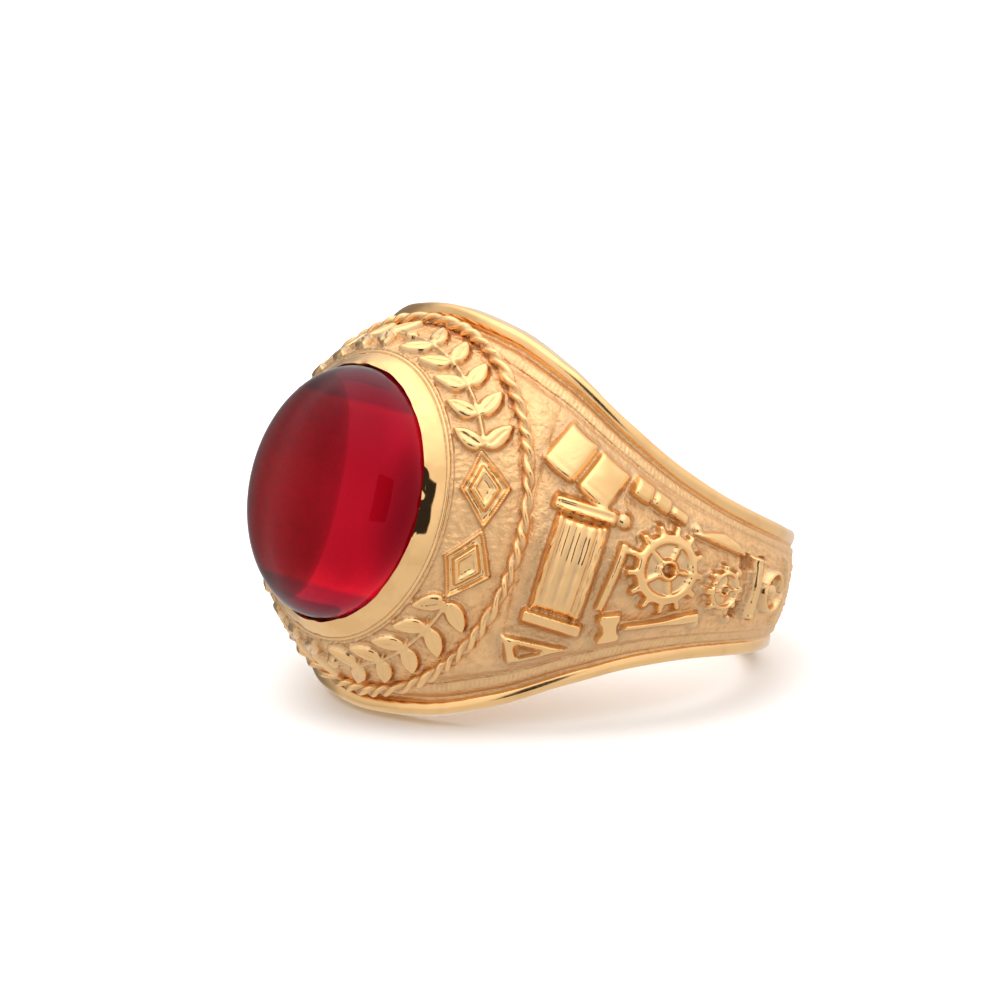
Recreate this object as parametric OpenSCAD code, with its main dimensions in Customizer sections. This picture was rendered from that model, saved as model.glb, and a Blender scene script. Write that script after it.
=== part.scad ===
// Class ring: one gold casting with an oval red cabochon in a bezel.
// Worn frame first: the face looks to -Y, the finger passes along Z.
// The finished ring then lies on its side, as it rests on a table.

/* [Finger hole] */
// Radius of the finger hole
bore_r = 10; // [8:0.25:11.5]
// Easing of the finger hole's two edges
bore_ease = 0.3; // [0.2:0.05:0.45]

/* [Band] */
// Thickness of the band at its two rims
wall = 1.65; // [1.4:0.05:2.2]
// Width of the band at the back of the finger
back_w = 6.2; // [5:0.1:8]
// Width of the polished rail along each rim
rail_w = 0.75; // [0.6:0.05:0.9]
// Width of the groove beside each rail
groove_w = 0.35; // [0.25:0.05:0.45]
// Depth of the groove beside each rail
groove_d = 0.35; // [0.2:0.05:0.5]
// Step up from the rail to the edge of the relief field, at its highest
field_step = 0.85; // [0.5:0.05:1.2]

/* [Head] */
// Height of the oval panel's foot above the rails
foot_rise = 0.5; // [0.3:0.05:0.9]
// Margin from the rope border to the rim, along the finger
flange_w = 0.95; // [0.8:0.05:1.4]
// Thickness of the rope border
rope_d = 0.75; // [0.6:0.05:1]
// Turns of the rope border's twist
rope_turns = 42; // [30:1:48]
// Width of the sloping ornament band at the two ends, along the finger
band_end_w = 2.25; // [1.9:0.05:2.8]
// Width of the sloping ornament band at the two sides, across the finger
band_side_w = 2.6; // [2.2:0.05:3.2]
// Height of the ornament band, from the panel's foot to the bezel
band_rise = 3.35; // [2.6:0.05:4]

/* [Setting] */
// Length of the stone's face along the finger, at the bezel's lip
stone_l = 13; // [11:0.1:14]
// Width of the stone's face across the finger, at the bezel's lip
stone_w = 11.4; // [9.5:0.1:12.5]
// Height of the stone's dome above the lip
dome_h = 3.4; // [2.2:0.1:4.2]
// Width of the bezel's sloping face, seen from above
bezel_w = 0.85; // [0.6:0.05:1.1]
// Height of the bezel, from its foot to its lip
bezel_h = 0.9; // [0.6:0.05:1.2]
// How far the lip is folded in over the stone's girdle
lip_fold = 0.3; // [0.2:0.05:0.45]
// Depth of the stone's girdle below the lip
girdle_d = 0.8; // [0.6:0.05:1.1]
// Depth of the stone's flat base below the lip
base_d = 1.7; // [1.4:0.05:2.2]
// Clearance between the stone and its seat
seat_gap = 0.05; // [0.03:0.01:0.1]
// Thickness of the bead line round the bezel's foot
bead_d = 0.25; // [0.15:0.05:0.35]

/* [Relief] */
// Height of the ornament on the sloping band
band_relief = 0.4; // [0.25:0.05:0.55]
// Height of the relief on the shoulders
shoulder_relief = 0.55; // [0.3:0.05:0.65]
// Leaf pairs on each half of the two garlands
leaf_pairs = 5; // [3:1:6]
// Length of one garland leaf
leaf_l = 1.9; // [1.4:0.05:2]
// Width of one garland leaf
leaf_w = 1.1; // [0.7:0.05:1.2]
// Length of one lozenge, tip to tip
lozenge_l = 4.2; // [3.2:0.1:4.4]
// Width of one lozenge
lozenge_w = 2.7; // [2:0.05:2.8]
// Width of the raised lines of a lozenge
line_w = 0.26; // [0.2:0.02:0.3]
// Length of the longest form on a shoulder
motif_l = 5.6; // [4.8:0.1:6]
// Depth of the four dark corners on each shoulder
pocket_d = 0.65; // [0.3:0.05:0.8]

/* [Hidden] */

gold = [0.93, 0.74, 0.47];
ruby = [0.62, 0.03, 0.08];

// Half widths along the ring. Columns: angle from the face, share of the
// growth from back to head, share of the field's step, share of the groove.
SECTIONS = [
    [0, 1, 0.65, 1],
    [18, 0.945, 0.8, 1],
    [36, 0.775, 1, 1],
    [54, 0.505, 0.9, 1],
    [72, 0.275, 0.68, 1],
    [90, 0.135, 0.5, 1],
    [110, 0.055, 0.32, 0.9],
    [130, 0.01, 0.14, 0.6],
    [155, 0, 0.08, 0.2],
    [180, 0, 0.06, 0]
];
// Height of the middle of the shoulder. Columns: share of the way from the
// rope to the back, share of the rope's height above the rails.
SHOULDER = [
    [0, 1],
    [0.056, 0.975],
    [0.133, 0.815],
    [0.252, 0.53],
    [0.371, 0.31],
    [0.51, 0.165],
    [0.65, 0.1],
    [0.79, 0.06],
    [1, 0.05]
];
// Shoulder relief. Columns: form, share of the way from the rope to the back,
// share of the half width across, spin, size along and across the band in
// shares of the longest form, share of the relief's height.
MOTIFS = [
    ["fluted", 0.068, -0.13, -4, 0.5, 0.91, 1.3],
    ["bar", 0.072, 0.33, -4, 0.62, 0.15, 1.5],
    ["bar", 0.063, -0.58, -4, 0.61, 0.14, 1.4],
    ["page", 0.035, 0.67, -27, 0.38, 0.44, 1.2],
    ["page", 0.09, 0.61, -27, 0.38, 0.42, 1.2],
    ["corner", 0.047, -0.76, 23, 0.73, 0.3, 1.1],
    ["bar", 0.131, -0.16, -8, 0.11, 0.68, 0.8],
    ["wheel", 0.211, 0.02, 0, 0.84, 0.84, 1.2],
    ["wheel", 0.334, -0.11, 10, 0.49, 0.49, 1.1],
    ["bar", 0.234, -0.63, 17.5, 0.82, 0.12, 1],
    ["bar", 0.148, -0.66, 17.5, 0.25, 0.31, 1.4],
    ["pin", 0.187, 0.7, -20, 0.68, 0.22, 1.2],
    ["sail", 0.315, 0.63, -9, 0.75, 0.15, 1],
    ["bar", 0.416, 0, 4, 0.13, 0.59, 1.1],
    ["hoop", 0.483, 0, 0, 0.41, 0.41, 1],
    ["bar", 0.555, 0.5, 16, 0.09, 0.34, 0.4],
    ["bar", 0.555, -0.5, -16, 0.09, 0.34, 0.4],
    ["stud", 0.13, 0.36, 0, 0.17, 0.17, 0.9],
    ["stud", 0.262, 0.62, 0, 0.11, 0.11, 0.7],
    ["stud", 0.3, -0.66, 0, 0.12, 0.12, 0.7],
    ["stud", 0.368, 0.2, 0, 0.1, 0.1, 0.6],
    ["stud", 0.372, -0.6, 0, 0.1, 0.1, 0.6]
];
// Outlines of the forms. Columns: share along, share across.
PAGE = [
    [-0.5, -0.5], [0, -0.56], [0.5, -0.5], [0.5, 0],
    [0.5, 0.5], [0, 0.44], [-0.5, 0.5], [-0.5, 0]
];
CORNER = [
    [-0.42, -0.36], [0.08, -0.36], [0.58, -0.36], [0.33, -0.11],
    [0.08, 0.14], [-0.17, 0.39], [-0.42, 0.64], [-0.42, 0.14]
];
SAIL = [
    [-0.5, -0.5], [0, -0.54], [0.5, -0.5], [0.45, -0.1],
    [0.26, 0.28], [0, 0.5], [-0.26, 0.16], [-0.42, -0.16]
];
BAR = [
    [-0.5, -0.5], [0, -0.5], [0.5, -0.5], [0.5, 0],
    [0.5, 0.5], [0, 0.5], [-0.5, 0.5], [-0.5, 0]
];

// Fineness of the curved surfaces
steps = 96;
half_step = 180 / steps;
oval_sides = 64;
stone_sides = 48;
dome_rings = 8;
rope_sides = 6;
rope_rings = 4;
stem_rings = 24;

// Shape of the field's fall from its middle to its edge
field_fall = 1.7;
// How far raised forms reach under the surface that they stand on
root = 0.6;
// How far inside the finger hole the band's blank begins, before it is bored
blank = 1;
// Outward swell of the ornament band between its two edges
band_swell = 0.12;
stem_w = 0.3;
tooth_pitch = 1;
// Arc that each garland fills, and the lean of its leaves
garland_span = 124;
leaf_lean = 52;
bud_d = 0.8;
lozenge_lean = 6;

rail_r = bore_r + wall;
foot_u = rail_r + foot_rise;
bezel_u = foot_u + band_rise;
lip_u = bezel_u + bezel_h;
lip_a = stone_l / 2;
lip_b = stone_w / 2;
bezel_a = lip_a + bezel_w;
bezel_b = lip_b + bezel_w;
rope_a = bezel_a + band_end_w;
rope_b = bezel_b + band_side_w;
rope_in = rope_d * 0.35;
rope_out = rope_d * 0.55;
head_half = rope_a + flange_w;
back_half = back_w / 2;
rail_round = min(rail_w, wall - bore_ease) * 0.45;
edge_w = rail_w + groove_w;
// The panel's side starts well under the field, so that it leaves no gap there
sunk_u = rail_r - 0.3 * wall;
// The field meets the panel a little below the panel's foot
field_u = foot_u - rope_d * 0.16;
rope_angle = atan(rope_b / field_u);
shoulder_rise = field_u / cos(rope_angle) - rail_r;
plateau_a = rope_a - rope_d / 3;
lozenge_turn = asin((lozenge_l / 2 - line_w / 2) / band_a(0.5));

// How the ring lies: on the head's rim and on the back's rim.
rim_in = bore_r + bore_ease;
rim_out = rail_r - rail_round;
rest_half = half_w(half_step);
tilt = atan((rest_half - back_half) / ((rim_in + rim_out) * cos(half_step)));
low_z = -rest_half * cos(tilt) + rim_in * cos(half_step) * sin(tilt);
front_y = lip_u * cos(tilt) + norm([dome_h * cos(tilt), lip_a * sin(tilt)]);
back_y = rail_r * cos(half_step) * cos(tilt) + (back_half - rail_w / 2) * sin(tilt);

// Smooth reading of a table's column, without overshoot between its rows.
function slope(t, c, i) = (t[i + 1][c] - t[i][c]) / (t[i + 1][0] - t[i][0]);
function tangent(t, c, i) =
    i == 0 || i == len(t) - 1 || slope(t, c, i - 1) * slope(t, c, i) <= 0
    ? 0
    : 2 / (1 / slope(t, c, i - 1) + 1 / slope(t, c, i));
function row(t, x, i = 0) = i >= len(t) - 2 || x < t[i + 1][0] ? i : row(t, x, i + 1);
function read(t, c, x) =
    let (
        i = row(t, x),
        h = t[i + 1][0] - t[i][0],
        k = min(max((x - t[i][0]) / h, 0), 1)
    )
    t[i][c] * (1 + 2 * k) * (1 - k) ^ 2
    + t[i + 1][c] * k * k * (3 - 2 * k)
    + h * tangent(t, c, i) * k * (1 - k) ^ 2
    - h * tangent(t, c, i + 1) * k * k * (1 - k);

// The band's surface. An angle folds to its distance from the face, 0 to 180.
function folded(a) = let (b = abs(a) % 360) b > 180 ? 360 - b : b;
function half_w(a) = back_half + (head_half - back_half) * read(SECTIONS, 1, folded(a));
function field_half(a) = half_w(a) - edge_w;
function edge_r(a) = rail_r + field_step * read(SECTIONS, 2, folded(a));
function groove(a) = groove_d * read(SECTIONS, 3, folded(a));
function middle_r(a) =
    let (t = folded(a))
    t < rope_angle
    ? field_u / cos(t)
    : rail_r + shoulder_rise * read(SHOULDER, 1, (t - rope_angle) / (180 - rope_angle));
function plateau(a) =
    let (t = folded(a) / rope_angle)
    t < 1 ? plateau_a * sqrt(1 - t * t) : 0;
// Radius of the relief field at an angle and a place across the band.
function field_r(a, w) =
    let (
        flat = min(plateau(a), field_half(a) - rope_d / 3),
        k = min(max((abs(w) - flat) / (field_half(a) - flat), 0), 1)
    )
    edge_r(a) + (middle_r(a) - edge_r(a)) * (1 - k ^ field_fall);
function at(a, r, w) = [r * sin(a), -r * cos(a), w];
function field_point(a, w) = at(a, field_r(a, w), w);

// Half of the band's section, from inside the hole to the middle.
function half_section(a) =
    let (w = half_w(a), g = groove(a), f = field_half(a))
    [
        [bore_r - blank, w - bore_ease - blank],
        [rim_in, w],
        [rim_out, w],
        [rail_r - rail_round * 0.3, w - rail_round * 0.3],
        [rail_r, w - rail_w * 0.55],
        [rail_r - g * 0.35, w - rail_w],
        [rail_r - g, w - rail_w - groove_w / 2],
        for (k = [1, 0.9, 0.72, 0.48, 0.24]) [field_r(a, f * k), f * k]
    ];
function section(a) =
    let (h = half_section(a), n = len(h))
    [
        for (p = h) at(a, p[0], p[1]),
        field_point(a, 0),
        for (i = [n - 1:-1:0]) at(a, h[i][0], -h[i][1])
    ];

// Faces of a row of closed rings whose end joins its start.
function hoop_faces(m, n) = [
    for (i = [0:m - 1], j = [0:n - 1])
        let (a = i * n + j, b = i * n + (j + 1) % n, k = ((i + 1) % m) * n)
        each [[a, b, k + j], [b, k + (j + 1) % n, k + j]]
];
// Faces of a stack of closed rings with a cap at each end.
function stack_faces(m, n) = [
    for (i = [0:m - 2], j = [0:n - 1])
        let (a = i * n + j, b = i * n + (j + 1) % n)
        each [[b, a, a + n], [b + n, b, a + n]],
    [for (j = [0:n - 1]) j],
    [for (j = [n - 1:-1:0]) (m - 1) * n + j]
];
// A solid through level ovals. Rows: half length, half width, height.
module oval_stack(rows, n) {
    points = [
        for (r = rows, i = [0:n - 1])
            let (t = 360 * i / n)
            [r[1] * cos(t), -r[2], r[0] * sin(t)]
    ];
    polyhedron(points, stack_faces(len(rows), n));
}

module band() {
    points = [for (i = [0:steps - 1]) each section(half_step - 360 * i / steps)];
    polyhedron(points, hoop_faces(steps, len(points) / steps));
}

// The sloping ornament band: s runs from the rope to the bezel.
function band_a(s) = rope_a - rope_in + (bezel_a - rope_a + rope_in) * s;
function band_b(s) = rope_b - rope_in + (bezel_b - rope_b + rope_in) * s;
function band_u(s) = foot_u + band_rise * s + band_swell * sin(180 * s);
function band_point(t, s) = [band_b(s) * cos(t), -band_u(s), band_a(s) * sin(t)];

// The oval panel with its ornament band, and the bezel on it.
module head() {
    bead = bead_d / 2;
    oval_stack([
        [rope_a - band_end_w, rope_b - band_side_w, bore_r + wall * 0.6],
        [rope_a + rope_out, rope_b + rope_out, sunk_u],
        [rope_a + rope_out, rope_b + rope_out, field_u],
        [rope_a, rope_b, foot_u],
        for (s = [0, 0.3, 0.65]) [band_a(s), band_b(s), band_u(s)],
        [bezel_a + bead, bezel_b + bead, bezel_u - bead],
        [bezel_a + bead, bezel_b + bead, bezel_u],
        [bezel_a, bezel_b, bezel_u],
        [lip_a + bezel_w * 0.55, lip_b + bezel_w * 0.55, bezel_u + bezel_h * 0.7],
        [lip_a + bezel_w * 0.2, lip_b + bezel_w * 0.2, lip_u],
        [lip_a - lip_fold / 2, lip_b - lip_fold / 2, lip_u]
    ], oval_sides);
}

// The rope border: a strand with slanting ridges, half sunk at the panel's foot.
module rope() {
    m = rope_turns * rope_rings;
    height = foot_u + rope_d * 0.1;
    function ridge(i, q) = rope_d / 2 * (1 + 0.16 * cos(360 * i / rope_rings - q));
    points = [
        for (i = [0:m - 1])
            let (t = 360 * i / m, d = unit([rope_a * cos(t), rope_b * sin(t)]))
            for (j = [0:rope_sides - 1])
                let (q = 360 * j / rope_sides, r = ridge(i, q))
                [
                    rope_b * cos(t) + r * cos(q) * d[0],
                    -height - r * sin(q),
                    rope_a * sin(t) + r * cos(q) * d[1]
                ]
    ];
    polyhedron(points, hoop_faces(m, rope_sides));
}

// The stone's rows from its flat base to the lip, grown by a clearance.
function stone_base(g) = [
    [lip_a + g, lip_b + g, lip_u - base_d - g],
    [lip_a + lip_fold + g, lip_b + lip_fold + g, lip_u - base_d + lip_fold - g],
    [lip_a + lip_fold + g, lip_b + lip_fold + g, lip_u - girdle_d],
    [lip_a + g, lip_b + g, lip_u]
];
module seat() {
    above = [lip_a + seat_gap, lip_b + seat_gap, lip_u + bezel_h];
    oval_stack([each stone_base(seat_gap), above], oval_sides);
}

// Frames on the two surfaces: X along the ring, Y across it, Z outwards.
function unit(v) = v / norm(v);
function frame(o, x, y) =
    let (a = unit(x), z = unit(cross(x, y)), b = cross(z, a))
    [
        [a[0], b[0], z[0], o[0]],
        [a[1], b[1], z[1], o[1]],
        [a[2], b[2], z[2], o[2]],
        [0, 0, 0, 1]
    ];
module on_field(a, w, spin = 0) {
    d = 0.5;
    multmatrix(frame(
        field_point(a, w),
        field_point(a + d, w) - field_point(a - d, w),
        field_point(a, w + d) - field_point(a, w - d)
    )) rotate(spin) children();
}
module on_band(t, s, spin = 0) {
    d = 0.1;
    multmatrix(frame(
        band_point(t, s),
        band_point(t + d, s) - band_point(t - d, s),
        band_point(t, s + d) - band_point(t, s - d)
    )) rotate(spin) children();
}
// A flat-topped form that stands h above the surface.
module raised(h) {
    translate([0, 0, -root]) linear_extrude(h + root) children();
}

module leaf() {
    polygon([
        for (t = [0:45:315])
            [leaf_l / 2 * cos(t), leaf_w / 2 * sin(t) * (1 - 0.25 * cos(t))]
    ]);
}
// The stem that the leaves grow from, a thin ridge along the band's middle.
module stem() {
    x = stem_w / 2;
    z = band_relief * 0.7;
    points = [
        for (i = [0:stem_rings - 1])
            let (
                t = 90 + garland_span * (i / (stem_rings - 1) - 0.5),
                o = band_point(t, 0.5),
                up = unit(band_point(t, 0.6) - band_point(t, 0.4)),
                out = unit(cross(band_point(t + 1, 0.5) - o, up))
            )
            for (q = [[x, -z], [x, z], [-x, z], [-x, -z]]) o + up * q[0] + out * q[1]
    ];
    polyhedron(points, stack_faces(stem_rings, 4));
}
// Two branches that meet at a bud.
module garland() {
    stem();
    on_band(90, 0.5) raised(band_relief) circle(d = bud_d, $fn = 8);
    for (half = [0, 1], i = [0:leaf_pairs - 1], side = [-1, 1]) mirror([half, 0, 0]) {
        t = 90 - garland_span / 2 * (i + 0.7) / leaf_pairs;
        on_band(t, 0.5 + side * 0.2, side * leaf_lean) raised(band_relief) leaf();
    }
}
module lozenge_shape(inset) {
    l = lozenge_l / 2 - inset * 1.8;
    w = lozenge_w / 2 - inset * 1.2;
    polygon([[-l, 0], [0, -w], [l, 0], [0, w]]);
}
module lozenge() {
    raised(band_relief) difference() {
        lozenge_shape(0);
        lozenge_shape(line_w);
    }
    raised(band_relief * 0.8) difference() {
        lozenge_shape(line_w * 1.9);
        lozenge_shape(line_w * 2.9);
    }
}
module band_ornament() {
    for (up = [0, 1]) mirror([0, 0, up]) {
        garland();
        for (side = [0, 1]) mirror([side, 0, 0])
            on_band(lozenge_turn, 0.5, lozenge_lean) lozenge();
    }
}

// A raised form that follows the field and stops at its edge. The outline
// lies round the place [a, w], along and across the band in mm.
function turned(p, s) = [p[0] * cos(s) - p[1] * sin(s), p[0] * sin(s) + p[1] * cos(s)];
function degrees_per_mm(a) = 180 / PI / middle_r(a);
module relief(a, w, spin, size, outline, h) {
    n = len(outline);
    function place(p, k, lift) =
        let (
            q = turned([p[0] * size[0], p[1] * size[1]] * k, spin),
            t = a + q[0] * degrees_per_mm(a),
            lim = field_half(t) * 0.99,
            y = max(-lim, min(lim, w + q[1]))
        )
        at(t, field_r(t, y) + lift, y);
    points = [
        for (p = outline) place(p, 1, -root),
        for (p = outline) place(p, 1, h),
        for (p = outline) place(p, 0.5, h),
        place([0, 0], 0, h),
        place([0, 0], 0, -root * 1.3)
    ];
    faces = [
        for (j = [0:n - 1])
            let (i = (j + 1) % n)
            each [
                [i, j, n + j], [i, n + j, n + i],
                [n + i, n + j, 2 * n + j], [n + i, 2 * n + j, 2 * n + i],
                [2 * n + i, 2 * n + j, 3 * n], [j, i, 3 * n + 1]
            ]
    ];
    polyhedron(points, faces);
}
// A bar with a raised lip along each of its long sides.
module fluted(a, w, spin, size, h) {
    relief(a, w, spin, size, BAR, h);
    for (side = [-1, 1]) {
        off = turned([side * size[0] * 0.4, 0], spin);
        relief(a + off[0] * degrees_per_mm(a), w + off[1], spin,
            [size[0] * 0.2, size[1]], BAR, h * 1.4);
    }
}
module wheel(r, h) {
    teeth = round(2 * PI * r * 0.9 / tooth_pitch);
    raised(h) difference() {
        union() {
            circle(r * 0.8, $fn = 12);
            for (i = [0:teeth - 1])
                rotate(360 * i / teeth) translate([r * 0.86, 0])
                    square([r * 0.28, tooth_pitch * 0.45], center = true);
        }
        circle(r * 0.38, $fn = 12);
    }
}
module hoop(r, h) {
    raised(h) difference() {
        circle(r, $fn = 12);
        circle(r * 0.72, $fn = 12);
    }
}
// A round pin in three steps, seen from its side.
module pin(size, h) {
    for (i = [0:2])
        translate([size[0] * (i - 1) / 3, 0]) raised(h * (1.2 - 0.16 * i))
            square([size[0] * 0.34, size[1] * (1 - 0.24 * i)], center = true);
}

function shoulder_angle(k) = rope_angle + k * (180 - rope_angle);
module motif(form, a, w, spin, size, h) {
    if (form == "page") relief(a, w, spin, size, PAGE, h);
    if (form == "corner") relief(a, w, spin, size, CORNER, h);
    if (form == "sail") relief(a, w, spin, size, SAIL, h);
    if (form == "bar") relief(a, w, spin, size, BAR, h);
    if (form == "fluted") fluted(a, w, spin, size, h);
    if (form == "pin") on_field(a, w, spin) pin(size, h);
    if (form == "hoop") on_field(a, w, spin) hoop(size[0] / 2, h);
    if (form == "stud") on_field(a, w, spin) raised(h) circle(d = size[0], $fn = 8);
    if (form == "wheel") on_field(a, w, spin) wheel(size[0] / 2, h);
}
module shoulder_ornament() {
    for (m = MOTIFS) {
        a = shoulder_angle(m[1]);
        size = [m[4], m[5]] * motif_l;
        motif(m[0], a, m[2] * field_half(a), m[3], size, m[6] * shoulder_relief);
    }
}
// Deep corners on both sides of the upright bar.
module shoulder_pockets() {
    size = [0.14, 0.16] * motif_l;
    for (k = [0.388, 0.442], side = [-1, 1])
        on_field(shoulder_angle(k), side * 0.22 * motif_l)
            translate([0, 0, -pocket_d]) linear_extrude(pocket_d + root)
                square(size, center = true);
}

// From the worn frame to the way the ring lies on a table.
module lying() {
    translate([0, (front_y - back_y) / 2, -low_z]) rotate([-tilt, 0, 0]) children();
}

module ring_body() {
    color(gold) lying() difference() {
        union() {
            band();
            head();
            rope();
            band_ornament();
            for (side = [0, 1]) mirror([side, 0, 0]) shoulder_ornament();
        }
        for (side = [0, 1]) mirror([side, 0, 0]) shoulder_pockets();
        seat();
        cylinder(h = 4 * head_half, r = bore_r, center = true, $fn = steps);
    }
}

module stone() {
    dome = [
        for (i = [0:dome_rings - 1])
            let (k = sin(90 * (1 - (i + 0.6) / dome_rings)))
            [lip_a * k, lip_b * k, lip_u + dome_h * sqrt(1 - k * k)]
    ];
    color(ruby) lying() oval_stack([each stone_base(0), each dome], stone_sides);
}

ring_body();
stone();
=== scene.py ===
"""Class ring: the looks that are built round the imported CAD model.

The ring is made as it is worn, in millimetres: the face looks to -Y and the finger passes
along Z. lying() then puts it on the table, in metres. In what follows a is an angle round
the finger in degrees from the face's middle, w a place across the band, and u a height
above the finger's middle towards the face.
"""
import math

import bpy
import numpy as np
from mathutils import Matrix, Vector


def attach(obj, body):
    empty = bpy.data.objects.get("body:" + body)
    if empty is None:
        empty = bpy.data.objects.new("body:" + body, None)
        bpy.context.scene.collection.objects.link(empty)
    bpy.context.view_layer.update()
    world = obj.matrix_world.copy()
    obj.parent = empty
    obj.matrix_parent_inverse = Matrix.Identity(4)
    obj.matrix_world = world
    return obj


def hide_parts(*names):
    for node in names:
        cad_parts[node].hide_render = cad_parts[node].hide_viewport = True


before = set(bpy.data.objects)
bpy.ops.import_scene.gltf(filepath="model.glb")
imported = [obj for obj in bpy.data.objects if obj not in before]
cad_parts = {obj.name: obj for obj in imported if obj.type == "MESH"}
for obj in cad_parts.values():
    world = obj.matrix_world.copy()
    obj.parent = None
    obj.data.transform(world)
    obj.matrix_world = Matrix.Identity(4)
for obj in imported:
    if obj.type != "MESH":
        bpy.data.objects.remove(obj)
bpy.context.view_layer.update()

# Sizes in mm, as they are in the part's source
BORE, EASE, WALL, BACK_HALF = 10, 0.3, 1.65, 3.1
RAIL_W, GROOVE_W, STEP = 0.75, 0.35, 0.85
ROPE_D, RELIEF, BAND_RELIEF, POCKET_D, MOTIF_L = 0.75, 0.55, 0.4, 0.65, 5.6
LIP_A, LIP_B, BEZEL_W, BEZEL_H, LIP_FOLD = 6.5, 5.7, 0.85, 0.9, 0.3
DOME_H, GIRDLE_D, BASE_D = 3.4, 0.8, 1.7
BAND_RISE, BAND_OUT_A, BAND_OUT_B = 3.35, 2.25, 2.6  # the sloping band's height and its reach
SEAT_GAP = 0.06  # between the stone and the cup in the visual model
ROUND_STEPS = 96  # sides of the source's hoop
RAIL_R = BORE + WALL
FOOT_U = RAIL_R + 0.5
BEZEL_U = FOOT_U + BAND_RISE
LIP_U = BEZEL_U + BEZEL_H
BEZEL_A, BEZEL_B = LIP_A + BEZEL_W, LIP_B + BEZEL_W
ROPE_A, ROPE_B = BEZEL_A + BAND_OUT_A, BEZEL_B + BAND_OUT_B
ROPE_IN = ROPE_D * 0.35
HEAD_HALF = ROPE_A + 0.95
RAIL_ROUND = 0.3375
EDGE_W = RAIL_W + GROOVE_W
FIELD_U = FOOT_U - ROPE_D * 0.16
ROPE_ANGLE = math.degrees(math.atan(ROPE_B / FIELD_U))
SHOULDER_RISE = FIELD_U / math.cos(math.radians(ROPE_ANGLE)) - RAIL_R
PLATEAU_A = ROPE_A - ROPE_D / 3
RIM_IN, RIM_OUT = BORE + EASE, RAIL_R - RAIL_ROUND

# Angle, share of the head's extra width, share of STEP at the edge, share of the groove's depth
SECTIONS = np.array([
    [0, 1, 0.65, 1], [18, 0.945, 0.8, 1], [36, 0.775, 1, 1], [54, 0.505, 0.9, 1],
    [72, 0.275, 0.68, 1], [90, 0.135, 0.5, 1], [110, 0.055, 0.32, 0.9],
    [130, 0.01, 0.14, 0.6], [155, 0, 0.08, 0.2], [180, 0, 0.06, 0]])
# Place along a shoulder from the rope to the back, share of the rise in its middle
SHOULDER = np.array([
    [0, 1], [0.056, 0.975], [0.133, 0.815], [0.252, 0.53], [0.371, 0.31],
    [0.51, 0.165], [0.65, 0.1], [0.79, 0.06], [1, 0.05]])


def read(table, column, x):
    """A table's column read smoothly, without overshoot between its rows."""
    xs, ys = table[:, 0], table[:, column]
    d = np.diff(ys) / np.diff(xs)
    m = np.zeros(len(xs))
    both = d[:-1] * d[1:] > 0
    m[1:-1][both] = 2 / (1 / d[:-1][both] + 1 / d[1:][both])
    i = np.clip(np.searchsorted(xs, x, side="right") - 1, 0, len(xs) - 2)
    h = xs[i + 1] - xs[i]
    k = np.clip((x - xs[i]) / h, 0, 1)
    return (ys[i] * (1 + 2 * k) * (1 - k) ** 2 + ys[i + 1] * k * k * (3 - 2 * k)
            + h * m[i] * k * (1 - k) ** 2 - h * m[i + 1] * k * k * (1 - k))


def half_w(a):
    """Half the band's width."""
    return BACK_HALF + (HEAD_HALF - BACK_HALF) * read(SECTIONS, 1, a)


def field_half(a):
    """Half the relief field's width, inside the rails and grooves."""
    return half_w(a) - EDGE_W


def edge_r(a):
    """Radius of the relief field's border."""
    return RAIL_R + STEP * read(SECTIONS, 2, a)


def middle_r(a):
    """Radius of the relief field's middle line."""
    t = np.radians(np.minimum(a, ROPE_ANGLE))
    k = np.clip((a - ROPE_ANGLE) / (180 - ROPE_ANGLE), 0, 1)
    return np.where(a < ROPE_ANGLE, FIELD_U / np.cos(t),
                    RAIL_R + SHOULDER_RISE * read(SHOULDER, 1, k))


def field_r(a, w):
    """Radius of the relief field at an angle and a place across the band."""
    plateau = PLATEAU_A * np.sqrt(np.clip(1 - (a / ROPE_ANGLE) ** 2, 0, 1))
    flat = np.minimum(plateau, field_half(a) - ROPE_D / 3)
    k = np.clip((np.abs(w) - flat) / (field_half(a) - flat), 0, 1)
    return edge_r(a) + (middle_r(a) - edge_r(a)) * (1 - k ** 1.7)


# The ring rests on the rim of its head and the rim of its back. Its hoop has flat sides
# in the source, so a flat's middle is nearer than its corners.
HALF_STEP = 180 / ROUND_STEPS
FLAT = math.cos(math.radians(HALF_STEP))
REST_HALF = float(half_w(np.float64(HALF_STEP)))
TILT = math.atan((REST_HALF - BACK_HALF) / ((RIM_IN + RIM_OUT) * FLAT))
COS, SIN = math.cos(TILT), math.sin(TILT)
DZ = REST_HALF * COS - RIM_IN * FLAT * SIN
DY = (LIP_U * COS + math.hypot(DOME_H * COS, LIP_A * SIN)
      - RAIL_R * FLAT * COS - (BACK_HALF - RAIL_W / 2) * SIN) / 2


def lying(p):
    """Worn frame in mm to the way the ring lies on the table, in metres."""
    x, y, z = np.moveaxis(np.asarray(p, float), -1, 0)
    return np.stack([x, y * COS + z * SIN + DY, z * COS - y * SIN + DZ], -1) * 1e-3


# Relief is drawn as heights over a grid of places, from distances to outlines
def smooth(x):
    """An even step from 0 to 1."""
    x = np.clip(x, 0, 1)
    return x * x * (3 - 2 * x)


def rise(d, soft=0.13):
    """0 at the outline, 1 inside it by soft mm."""
    return smooth(-d / soft)


def box(x, y, l, w, r=0.06):
    """Distance to a rectangle with corners of radius r, negative inside."""
    dx, dy = np.abs(x) - l / 2 + r, np.abs(y) - w / 2 + r
    return np.hypot(np.maximum(dx, 0), np.maximum(dy, 0)) + np.minimum(np.maximum(dx, dy), 0) - r


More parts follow.
